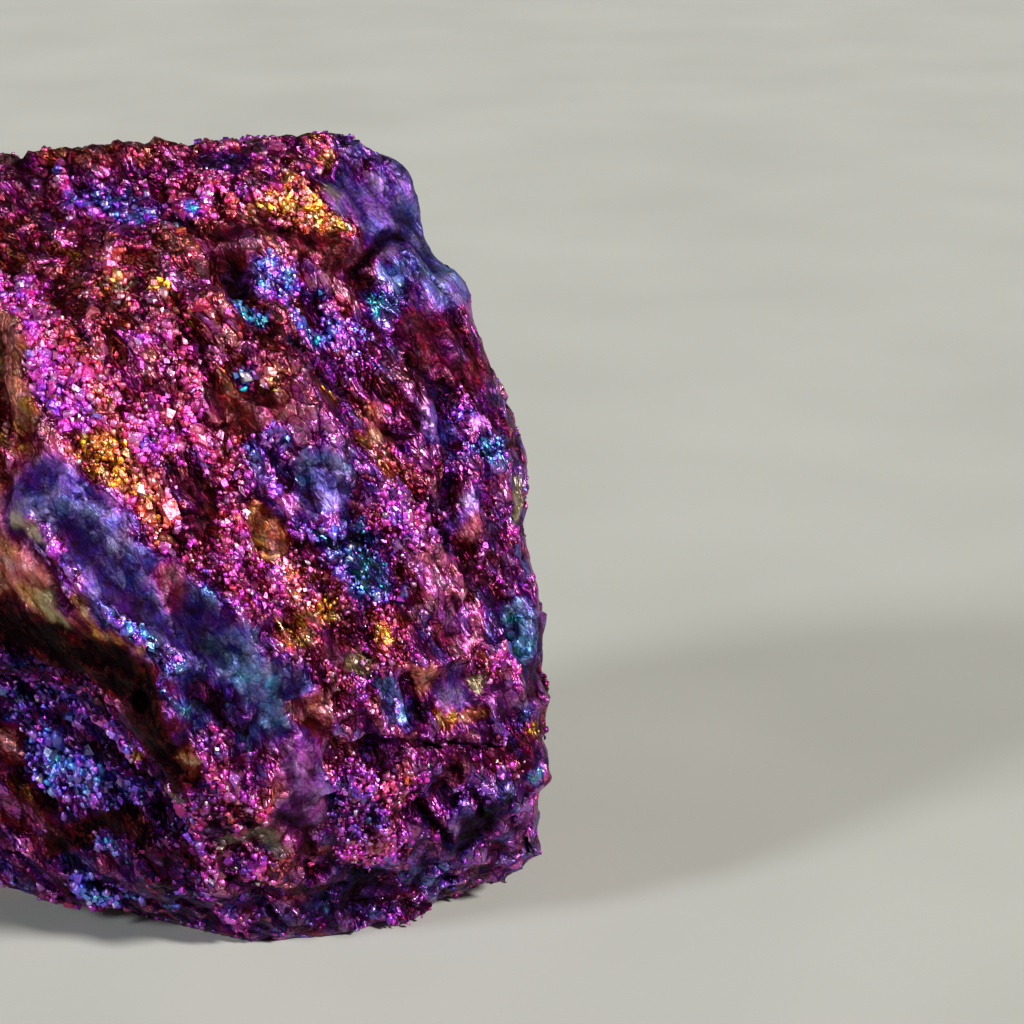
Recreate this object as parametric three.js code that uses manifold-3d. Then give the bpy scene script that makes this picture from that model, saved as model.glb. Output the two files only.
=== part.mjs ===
// Peacock ore: one hand-sized piece of iridescent copper ore, broken from a vein.
//
// Units are millimetres, +Z is up. The stone stands on a flat break at z = 0, and its origin is
// the middle of the bottom of its bounding box. +Y points away from the broad front break.
//
// The shape is made in five steps, as a stone is broken:
//   1. a convex block through named corner points,
//   2. small flat chips struck off its edges,
//   3. notches and ledges cut into its faces,
//   4. a fine triangle mesh over all of it,
//   5. an uneven, grainy relief that fades out on the flat break underneath.

import * as THREE from 'three';
import { ConvexGeometry } from 'three/addons/geometries/ConvexGeometry.js';
import * as BufferGeometryUtils from 'three/addons/utils/BufferGeometryUtils.js';
import Module from 'manifold-3d';

// ---- driving dimensions -------------------------------------------------------------------

const WIDTH = 60; // along X
const DEPTH = 45; // along Y
const HEIGHT = 60; // along Z

const CHIP_COUNT = 44; // flat chips along the edges
const CHIP_DEPTH = { least: 0.2, most: 0.7 };
const CHIP_LEAN = 0.28; // how far a chip's face may turn from the mean of its two breaks
const CHIP_LOWEST = 5; // no edge below this height is chipped
const CHIP_TOOL = { side: 60, thickness: 12 };

const FACET_EDGE = 4.2; // longest triangle edge in the finished mesh
const WELD = 0.02; // points closer than this are one point

const SWELL = { height: 0.75, length: 9 }; // broad unevenness of the breaks
const GRAIN = { height: 0.3, length: 3.2 }; // coarse grain
const CALM_ZONE = 2.5; // the relief fades in over this height above the flat break

const STONE_COLOUR = 0x8a3f8c;
const SEED = 20;

// ---- the block's corners ------------------------------------------------------------------

const CORNERS = {
  // the top edge of the front break, left to right
  crest: [
    [-18, -1.5, 57.5], [-10.5, -3, 60.5], [-3.5, 0, 60.5], [4, 3, 59.5], [15, 6.5, 60],
  ],
  // the right-hand edge of the front break, top to bottom
  rightEdge: [
    [18.5, 8, 56], [21.5, 8, 49], [26, 4, 44], [28, 0, 33.5], [29, -4, 21],
    [29.5, -6.5, 17], [30, -8, 11], [30, -7, 5], [28.5, -6, 3.5],
  ],
  // the lower rim of the front, which hangs clear of the ground at both ends
  frontRim: [
    [24, -6, 1.5], [-5, -9.5, 2], [-9.5, -9, 3], [-14, -8, 4.5], [-18, -5, 5.5],
  ],
  // the nearest edge, where the front break meets the left one, top to bottom
  nearEdge: [
    [-9, -10.5, 54], [-6.5, -16.5, 45], [-7, -20, 37], [1, -22.5, 28], [4.5, -22, 18],
  ],
  // the swollen middle of the front break, from under the crest down to the ledge
  frontSwell: [
    [5, -9, 49.5], [10.5, -9.5, 44], [15.5, -9, 38.5], [21, -8.5, 32],
    [3.5, -18, 33], [11, -17.5, 23], [20, -13, 20], [7, -17, 10.5],
  ],
  // the blunt left end, out of line with the front
  leftEnd: [
    [-26, -0.5, 51], [-30, -1, 38], [-29.5, -3, 25], [-28, 1, 13], [-21, 3, 4],
  ],
  // the rough back, top to bottom
  back: [
    [-17, 8, 54], [3, 14, 54], [16, 17, 49], [-26, 12, 41], [-7, 21, 41], [12, 22.5, 33],
    [24, 14, 36], [27.5, 9, 21], [-25, 12, 18], [-9, 20, 17], [18, 19, 11], [28, 8, 8],
  ],
  // the flat break that the stone stands on
  base: [
    [7, -11.5, 0], [13, -10.5, 0], [-2, -7, 0], [21, -4, 0], [-11, 0, 0], [25.5, 4, 0],
    [24, 12, 0], [13, 17, 0], [-2, 17.5, 0], [-13, 13, 0], [-16.5, 7, 0],
  ],
};

// ---- notches: each is cut by a convex tool through its named corners ------------------------

const NOTCHES = {
  // a dark overhang under the right half of the front, below a straight ledge
  underLedge: [
    [15, -24, 24], [31, -18, 22], [15.5, -14, 18], [32, -5.5, 14.5], [15, -24, 9], [31, -20, 4],
  ],
  // the deep hollow below the near edge, on the lower left
  lowerLeftHollow: [
    [-16, -34, 38], [-5, -34, 36], [3, -35, 32], [6, -32, 22],
    [-21, -12, 24], [-9.5, -12.5, 23], [-2, -15, 19.5], [2, -15, 13.5],
    [-22, -10.5, 8], [-11, -10.5, 7], [-2, -12, 4.5],
    [-16, -40, 17], [3, -35, 13],
  ],
  // an upright step in the upper front: the stone to the right of it lies lower
  upperStep: [
    [5, -5, 62], [6, -16, 52], [4, 4, 60.5], [5, -8, 49.5],
    [14, 5.5, 60.5], [16, -4.5, 49.5], [15, -5, 62], [16, -14, 52],
  ],
  // a black crack across the middle: the break above it lies lower
  frontCrack: [
    [11, -14, 48.5], [14.5, -13.5, 44.5], [19.5, -12.5, 39.5],
    [10, -7.5, 47], [14, -6, 42.5], [19, -5.5, 38],
    [15.5, 0.5, 50.5], [20.5, -1, 45.5], [22.5, -2.5, 40.5],
    [16, -5, 52], [21, -6, 47.5], [23, -7.5, 42],
  ],
  // a dark scoop beside the right-hand edge
  rightScoop: [
    [20, -4.5, 47.5], [23.5, -1, 47], [24, -4, 43], [20, -7, 43.5], [21, 0.5, 45], [22, 1, 43.5],
  ],
  // a small dark hollow near the foot of the upright step
  smallHollow: [
    [6.5, -11, 51.5], [9, -9.5, 52], [10, -11.5, 49.5], [7, -14, 49],
    [7.5, -6.5, 49.5], [8.5, -6, 49],
  ],
  // a gap in the right-hand edge, just above the ledge
  edgeGap: [
    [27.5, -10.5, 24], [31, -8.5, 23.5], [31, -10, 19.5], [27.5, -12, 20],
    [28.5, -3.5, 19.5], [31, 2.5, 15.5], [28.5, -4.5, 17.5], [31, 3.5, 18.5],
  ],
  // a low ledge that runs down the lower front, above a smooth band
  bandLedge: [
    [4.5, -22.5, 34.5], [12, -21, 27.5], [4, -18, 32.5], [11.5, -16.5, 25],
    [4, -24, 32.5], [11.5, -21.5, 25],
  ],
  // a black hole under the near edge
  blackHollow: [
    [0.5, -30, 29.5], [3, -30.5, 30], [4, -30.5, 25], [0.5, -23, 21],
    [0.5, -19.5, 24], [1.5, -19.5, 22.5],
  ],
  // a short scoop above the ledge
  ledgeScoop: [
    [13.5, -20.5, 28.5], [15.5, -19, 28], [16, -20, 24], [13.5, -21, 24.5],
    [14.5, -14, 24.5], [14.5, -14, 23.5],
  ],
  // a slanting overhang across the back
  backLedge: [
    [-17, 30, 35], [15, 32, 29], [-15, 17, 31.5], [14, 19, 25.5], [-17, 30, 19], [15, 32, 14],
  ],
  // a scar along the left end
  leftScar: [
    [-38, -9, 35], [-38, 9, 40], [-27.5, -6, 32.5], [-26, 8, 36.5], [-38, -9, 21], [-38, 9, 25],
  ],
  // a shallow step in the sloping top
  topScar: [
    [-13, 5, 66], [9, 10, 66], [-12, 8.5, 54.5], [9, 13, 52.5], [-14, 26, 55], [9, 29, 51],
  ],
};

// ---- seeded chance --------------------------------------------------------------------------

function makeChance(seed) {
  let state = seed >>> 0;
  return () => {
    state = (state + 0x6d2b79f5) >>> 0;
    let t = Math.imul(state ^ (state >>> 15), 1 | state);
    t = (t + Math.imul(t ^ (t >>> 7), 61 | t)) ^ t;
    return ((t ^ (t >>> 14)) >>> 0) / 4294967296;
  };
}

// ---- solids ---------------------------------------------------------------------------------

const wasm = await Module();
wasm.setup();

function toSolid(geometry) {
  const bare = geometry.clone();
  bare.deleteAttribute('normal');
  bare.deleteAttribute('uv');
  const merged = BufferGeometryUtils.mergeVertices(bare, 1e-4);
  return new wasm.Manifold(new wasm.Mesh({
    numProp: 3,
    vertProperties: new Float32Array(merged.attributes.position.array),
    triVerts: new Uint32Array(merged.index.array),
  }));
}

function toGeometry(solid) {
  const mesh = solid.getMesh();
  const geometry = new THREE.BufferGeometry();
  geometry.setAttribute('position', new THREE.BufferAttribute(new Float32Array(mesh.vertProperties), 3));
  geometry.setIndex(new THREE.BufferAttribute(new Uint32Array(mesh.triVerts), 1));
  return geometry;
}

function convexThrough(points) {
  return toSolid(new ConvexGeometry(points.map((point) => new THREE.Vector3(...point))));
}

// ---- step 2: chips --------------------------------------------------------------------------

// A chip's face is square to the mean of two neighbouring breaks, a little below their edge.
function chipTool(edge, chance) {
  const along = edge.from.clone().lerp(edge.to, 0.15 + 0.7 * chance());
  const lean = new THREE.Vector3(chance() - 0.5, chance() - 0.5, chance() - 0.5);
  const outward = edge.outward.clone().addScaledVector(lean, CHIP_LEAN).normalize();
  const depth = THREE.MathUtils.lerp(CHIP_DEPTH.least, CHIP_DEPTH.most, chance());
  const tool = new THREE.BoxGeometry(CHIP_TOOL.side, CHIP_TOOL.side, CHIP_TOOL.thickness);
  const turn = new THREE.Quaternion().setFromUnitVectors(new THREE.Vector3(0, 0, 1), outward);
  const centre = along.addScaledVector(outward, CHIP_TOOL.thickness / 2 - depth);
  tool.applyMatrix4(new THREE.Matrix4().compose(centre, turn, new THREE.Vector3(1, 1, 1)));
  return toSolid(tool);
}

function sharpEdges(geometry) {
  const position = geometry.attributes.position;
  const index = geometry.index;
  const corner = (i) => new THREE.Vector3().fromBufferAttribute(position, i);
  const seen = new Map();
  const edges = [];
  for (let face = 0; face < index.count; face += 3) {
    const ids = [index.getX(face), index.getX(face + 1), index.getX(face + 2)];
    const [a, b, c] = ids.map(corner);
    const normal = b.clone().sub(a).cross(c.clone().sub(a)).normalize();
    for (let k = 0; k < 3; k += 1) {
      const from = ids[k];
      const to = ids[(k + 1) % 3];
      const key = from < to ? `${from}_${to}` : `${to}_${from}`;
      if (!seen.has(key)) {
        seen.set(key, normal);
        continue;
      }
      const outward = seen.get(key).clone().add(normal).normalize();
      const isSharp = seen.get(key).dot(normal) < Math.cos(THREE.MathUtils.degToRad(14));
      const isLow = Math.min(corner(from).z, corner(to).z) < CHIP_LOWEST;
      if (isSharp && !isLow) edges.push({ from: corner(from), to: corner(to), outward });
    }
  }
  return edges;
}

function chipEdges(block, chance) {
  const edges = sharpEdges(toGeometry(block));
  let stone = block;
  for (let count = 0; count < CHIP_COUNT; count += 1) {
    const edge = edges[Math.floor(chance() * edges.length)];
    stone = stone.subtract(chipTool(edge, chance));
  }
  return stone;
}

// ---- step 4: a fine mesh --------------------------------------------------------------------

// Every edge that is too long is halved, and its two triangles share the new point.
function refineOnce(points, triangles) {
  const halves = new Map();
  const halfway = (i, j) => {
    const key = i < j ? `${i}_${j}` : `${j}_${i}`;
    if (!halves.has(key)) {
      const isLong = points[i].distanceTo(points[j]) > FACET_EDGE;
      halves.set(key, isLong ? points.push(points[i].clone().lerp(points[j], 0.5)) - 1 : -1);
    }
    return halves.get(key);
  };
  const finer = [];
  for (const [a, b, c] of triangles) {
    const turned = [[a, b, c], [b, c, a], [c, a, b]];
    const mids = turned.map(([from, to]) => halfway(from, to));
    const split = mids.filter((mid) => mid >= 0).length;
    if (split === 0) {
      finer.push([a, b, c]);
    } else if (split === 3) {
      finer.push([a, mids[0], mids[2]], [mids[0], b, mids[1]], [mids[2], mids[1], c], mids);
    } else {
      const first = split === 1 ? mids.findIndex((mid) => mid >= 0) : (mids.indexOf(-1) + 1) % 3;
      const [p, q, r] = turned[first];
      const mid = mids[first];
      const next = mids[(first + 1) % 3];
      if (split === 1) finer.push([p, mid, r], [mid, q, r]);
      else finer.push([mid, q, next], [p, mid, next], [p, next, r]);
    }
  }
  return finer;
}

function refine(geometry) {
  const position = geometry.attributes.position;
  const points = [];
  for (let i = 0; i < position.count; i += 1) {
    points.push(new THREE.Vector3().fromBufferAttribute(position, i));
  }
  let triangles = [];
  for (let i = 0; i < geometry.index.count; i += 3) {
    const [a, b, c] = [0, 1, 2].map((k) => geometry.index.getX(i + k));
    const hasArea = a !== b && b !== c && c !== a;
    if (hasArea) triangles.push([a, b, c]);
  }
  for (let before = 0; before !== triangles.length;) {
    before = triangles.length;
    triangles = refineOnce(points, triangles);
  }
  return { points, triangles };
}

// ---- step 5: relief -------------------------------------------------------------------------

// Smooth noise between -1 and 1 over a lattice of seeded values.
function makeNoise(seed) {
  const at = (x, y, z) => {
    let h = Math.imul(x, 374761393) ^ Math.imul(y, 668265263) ^ Math.imul(z, 2147483647 ^ seed);
    h = Math.imul(h ^ (h >>> 13) ^ seed, 1274126177);
    return ((h ^ (h >>> 16)) >>> 0) / 2147483648 - 1;
  };
  const ease = (t) => t * t * (3 - 2 * t);
  const mix = THREE.MathUtils.lerp;
  return (p, length) => {
    const [x, y, z] = [p.x / length, p.y / length, p.z / length];
    const [i, j, k] = [Math.floor(x), Math.floor(y), Math.floor(z)];
    const [u, v, w] = [ease(x - i), ease(y - j), ease(z - k)];
    const row = (dj, dk) => mix(at(i, j + dj, k + dk), at(i + 1, j + dj, k + dk), u);
    return mix(mix(row(0, 0), row(1, 0), v), mix(row(0, 1), row(1, 1), v), w);
  };
}

function roughen(points) {
  const noises = [1, 2, 3].map((axis) => makeNoise(SEED * 7 + axis));
  return points.map((point) => {
    const fade = THREE.MathUtils.smoothstep(point.z, 0, CALM_ZONE);
    const push = noises.map((noise) => (
      SWELL.height * noise(point, SWELL.length) + GRAIN.height * noise(point, GRAIN.length)
    ));
    return point.clone().addScaledVector(new THREE.Vector3(...push), fade);
  });
}

// ---- the stone ------------------------------------------------------------------------------

function buildStone() {
  const chance = makeChance(SEED);
  let stone = chipEdges(convexThrough(Object.values(CORNERS).flat()), chance);
  for (const corners of Object.values(NOTCHES)) stone = stone.subtract(convexThrough(corners));
  const merged = BufferGeometryUtils.mergeVertices(toGeometry(stone), WELD);
  const { points, triangles } = refine(merged);
  const geometry = new THREE.BufferGeometry().setFromPoints(roughen(points));
  geometry.setIndex(triangles.flat());
  fitToSize(geometry);
  geometry.computeVertexNormals();
  return geometry;
}

// The stone is brought to its exact size, over the middle of the bottom of its box.
function fitToSize(geometry) {
  geometry.computeBoundingBox();
  const box = geometry.boundingBox;
  const centre = box.getCenter(new THREE.Vector3());
  const size = box.getSize(new THREE.Vector3());
  geometry.translate(-centre.x, -centre.y, -box.min.z);
  geometry.scale(WIDTH / size.x, DEPTH / size.y, HEIGHT / size.z);
}

const material = new THREE.MeshStandardMaterial({ color: STONE_COLOUR, roughness: 0.35, metalness: 0.9 });
const stone = new THREE.Mesh(buildStone(), material);
stone.name = 'ore_stone';

const part = new THREE.Group();
part.name = 'peacock_ore';
part.add(stone);

export default part;
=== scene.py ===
"""Peacock ore: one broken piece of copper ore with a magenta, violet, blue and gold tarnish.

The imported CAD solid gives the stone's size, its broad breaks, its ledges and its hollows. This script
lays the fine broken surface over it, sets small crystal grains into that, paints the tarnish film on
both, and sets up the studio. Lengths in the stone sections are millimetres, in the part's own frame.
Blender's are metres.
"""

import math

import bpy
import numpy as np
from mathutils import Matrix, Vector


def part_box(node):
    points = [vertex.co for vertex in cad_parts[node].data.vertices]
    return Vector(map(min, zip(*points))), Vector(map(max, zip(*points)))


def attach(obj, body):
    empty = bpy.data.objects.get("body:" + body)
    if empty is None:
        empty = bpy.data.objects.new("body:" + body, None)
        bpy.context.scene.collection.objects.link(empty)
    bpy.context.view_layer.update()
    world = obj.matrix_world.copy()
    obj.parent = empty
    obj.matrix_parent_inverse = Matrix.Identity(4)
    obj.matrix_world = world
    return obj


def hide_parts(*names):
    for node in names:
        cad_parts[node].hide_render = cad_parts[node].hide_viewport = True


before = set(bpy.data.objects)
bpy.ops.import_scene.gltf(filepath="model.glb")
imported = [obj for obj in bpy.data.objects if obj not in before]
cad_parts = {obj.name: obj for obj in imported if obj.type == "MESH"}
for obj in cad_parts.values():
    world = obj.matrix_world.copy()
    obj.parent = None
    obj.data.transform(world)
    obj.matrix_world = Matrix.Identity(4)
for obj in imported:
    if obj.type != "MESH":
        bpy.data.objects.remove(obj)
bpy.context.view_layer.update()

MM = 0.001
SEED = 7
CAD_NODE = "ore_stone"
STONE_LOW, STONE_HIGH = (Vector(corner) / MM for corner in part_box(CAD_NODE))
STONE_MIDDLE = (STONE_LOW + STONE_HIGH) / 2


def new_object(name, data):
    """An object with this data, in the scene."""
    made = bpy.data.objects.new(name, data)
    bpy.context.scene.collection.objects.link(made)
    return made


# ---- camera ----------------------------------------------

CAMERA_ELEVATION = math.radians(18)
CAMERA_DISTANCE = 230
CAMERA_LENS = 105
CAMERA_AIM = Vector((STONE_HIGH.x - 3.1, STONE_MIDDLE.y + 0.3, STONE_MIDDLE.z + 0.9))


def camera_axes():
    """The camera's right, up and backward directions."""
    rise, run = math.sin(CAMERA_ELEVATION), math.cos(CAMERA_ELEVATION)
    return Vector((1, 0, 0)), Vector((0, rise, run)), Vector((0, -run, rise))


def add_camera():
    data = bpy.data.cameras.new("camera")
    data.lens = CAMERA_LENS
    data.sensor_width = 36
    data.clip_start = 0.01
    data.clip_end = 20
    camera = new_object("camera", data)
    backward = camera_axes()[2]
    camera.location = (CAMERA_AIM + backward * CAMERA_DISTANCE) * MM
    camera.rotation_euler = backward.to_track_quat("Z", "Y").to_euler()
    bpy.context.scene.camera = camera


# ---- seeded noise over points in space -------------------

NEIGHBOURS = np.array([(i, j, k) for i in (-1, 0, 1) for j in (-1, 0, 1) for k in (-1, 0, 1)])
SEED_SPREAD = 0.85  # how much of its cell a seed may lie in
LAYER_STEP = 2.1  # each layer of noise is this much finer than the one before it
LAYER_FADE = 0.55  # and this much as strong


def chance(cells, salt):
    """A number from 0 to 1 for each lattice cell (rows of three whole numbers)."""
    c = cells.astype(np.int64)
    h = (c[:, 0] * 73856093) ^ (c[:, 1] * 19349663) ^ (c[:, 2] * 83492791) ^ (salt * 2654435761)
    h = (h & 0xFFFFFFFF).astype(np.uint64)
    h = ((h ^ (h >> np.uint64(16))) * np.uint64(0x45D9F3B)) & np.uint64(0xFFFFFFFF)
    h = ((h ^ (h >> np.uint64(16))) * np.uint64(0x45D9F3B)) & np.uint64(0xFFFFFFFF)
    h = h ^ (h >> np.uint64(16))
    return h.astype(np.float64) / 0xFFFFFFFF


def chance3(cells, salt):
    return np.stack([chance(cells, salt + 101 * axis) for axis in range(3)], axis=1)


def wander(points, length, salt):
    """Smooth noise from -1 to 1 with waves of about this length."""
    scaled = points / length
    cell = np.floor(scaled)
    t = scaled - cell
    t = t * t * (3 - 2 * t)
    total = np.zeros(len(points))
    for corner in ((i, j, k) for i in (0, 1) for j in (0, 1) for k in (0, 1)):
        offset = np.array(corner)
        share = np.prod(np.where(offset == 1, t, 1 - t), axis=1)
        total += share * (chance(cell + offset, salt) * 2 - 1)
    return total


def layered(points, length, salt, layers=3):
    """Noise with finer and weaker noise added to it."""
    total = np.zeros(len(points))
    for layer in range(layers):
        total += wander(points, length / LAYER_STEP**layer, salt + 7 * layer) * LAYER_FADE**layer
    return total


def shaken(points, length, distance, salt):
    """The points, each moved by up to about this distance along smooth noise."""
    return points + np.stack([layered(points, length, salt + axis) for axis in range(3)], axis=1) * distance


def nearest_cells(points, size, salt):
    """For each of the 27 cells round each point: squared distance to its seed in cells, way, cell."""
    home = np.floor(points / size)
    for offset in NEIGHBOURS:
        cell = home + offset
        seed = (cell + 0.5 + SEED_SPREAD * (chance3(cell, salt) - 0.5)) * size
        away = points - seed
        yield np.sum(away * away, axis=1) / size**2, away, cell


def scoops(points, size, bend, lean, salt):
    """Height of shallow scoops of about this size, each leaning its own way. They meet in sharp ridges."""
    lowest = np.full(len(points), np.inf)
    for square, away, cell in nearest_cells(points, size, salt):
        tilt = (chance3(cell, salt + 11) * 2 - 1) * lean
        lowest = np.minimum(lowest, np.sum(away * tilt, axis=1) + bend * size * square)
    return lowest - lowest.mean()


# ---- the stone's fine mesh -------------------------------

VOXEL = 0.385  # the fine mesh's faces are about this wide
WELD = 0.002  # points closer than this are one


def read(items, name, kind=np.int64, width=1):
    """A property of all these mesh items as an array, in rows of this width."""
    values = np.zeros(len(items) * width, kind)
    items.foreach_get(name, values)
    return values if width == 1 else values.reshape(-1, width)


def unit(vectors):
    return vectors / np.linalg.norm(vectors, axis=1, keepdims=True)


class Surface:
    """The stone's mesh as arrays: points in mm, smoothed outward normals, and the edges."""

    def __init__(self, mesh):
        self.mesh = mesh
        self.points = read(mesh.vertices, "co", float, 3) / MM
        self.edges = read(mesh.edges, "vertices", width=2)
        self.degree = np.bincount(self.edges.ravel(), minlength=len(self.points))
        self.refresh_normals()

    def refresh_normals(self):
        self.normals = unit(self.smoothed(read(self.mesh.vertex_normals, "vector", float, 3), 3))

    def smoothed(self, values, rounds):
        """Each value becomes the mean of its neighbours' values, this many times over."""
        values = values.reshape(len(self.points), -1)
        first, second = self.edges[:, 0], self.edges[:, 1]
        for _ in range(rounds):
            columns = []
            for column in values.T:
                total = np.bincount(first, column[second], len(column))
                total += np.bincount(second, column[first], len(column))
                columns.append(total / self.degree)
            values = np.stack(columns, axis=1)
        return values

    def move_to(self, points):
        self.points = points
        self.mesh.vertices.foreach_set("co", (points * MM).ravel())
        self.mesh.update()
        self.refresh_normals()

    def hollowness(self, rounds):
        """Above 0 in hollows and below 0 on edges, over a width that grows with rounds."""
        mean = self.smoothed(self.points, rounds)
        return np.sum((mean - self.points) * self.normals, axis=1)


def store(mesh, name, values):
    """Keeps one number for each of the mesh's vertices, for its material to read."""
    attribute = mesh.attributes.new(name, "FLOAT", "POINT")
    attribute.data.foreach_set("value", values.astype(np.float32))


def fine_copy_of_cad():
    """A new object with the CAD solid's shape in small, even faces."""
    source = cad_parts[CAD_NODE]
    rough = new_object("rough_stone", source.data.copy())
    weld = rough.modifiers.new("weld", "WELD")
    weld.merge_threshold = WELD * MM
    remesh = rough.modifiers.new("remesh", "REMESH")
    remesh.mode = "VOXEL"
    remesh.voxel_size = VOXEL * MM
    graph = bpy.context.evaluated_depsgraph_get()
    mesh = bpy.data.meshes.new_from_object(rough.evaluated_get(graph))
    bpy.data.objects.remove(rough)
    mesh.name = "peacock_ore"
    return new_object("peacock_ore", mesh)


# ---- tarnish: the film's colours and where they lie ------

# the film's colours from thin to thick, as sRGB
FILM_COLOURS = (
    (0.00, (1.00, 0.76, 0.20)),
    (0.10, (0.98, 0.56, 0.26)),
    (0.20, (0.97, 0.44, 0.38)),
    (0.32, (0.96, 0.35, 0.54)),
    (0.44, (0.96, 0.33, 0.73)),
    (0.54, (0.94, 0.33, 0.90)),
    (0.63, (0.83, 0.34, 0.97)),
    (0.73, (0.61, 0.36, 0.96)),
    (0.81, (0.50, 0.48, 0.98)),
    (0.88, (0.42, 0.60, 0.97)),
    (0.95, (0.36, 0.76, 0.98)),
    (1.00, (0.16, 0.88, 0.95)),
)
GOLD, ORANGE, RED, ROSE, PINK, MAGENTA, PURPLE, VIOLET, PERIWINKLE, BLUE, SKY, CYAN = (
    place for place, _ in FILM_COLOURS
)

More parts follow.
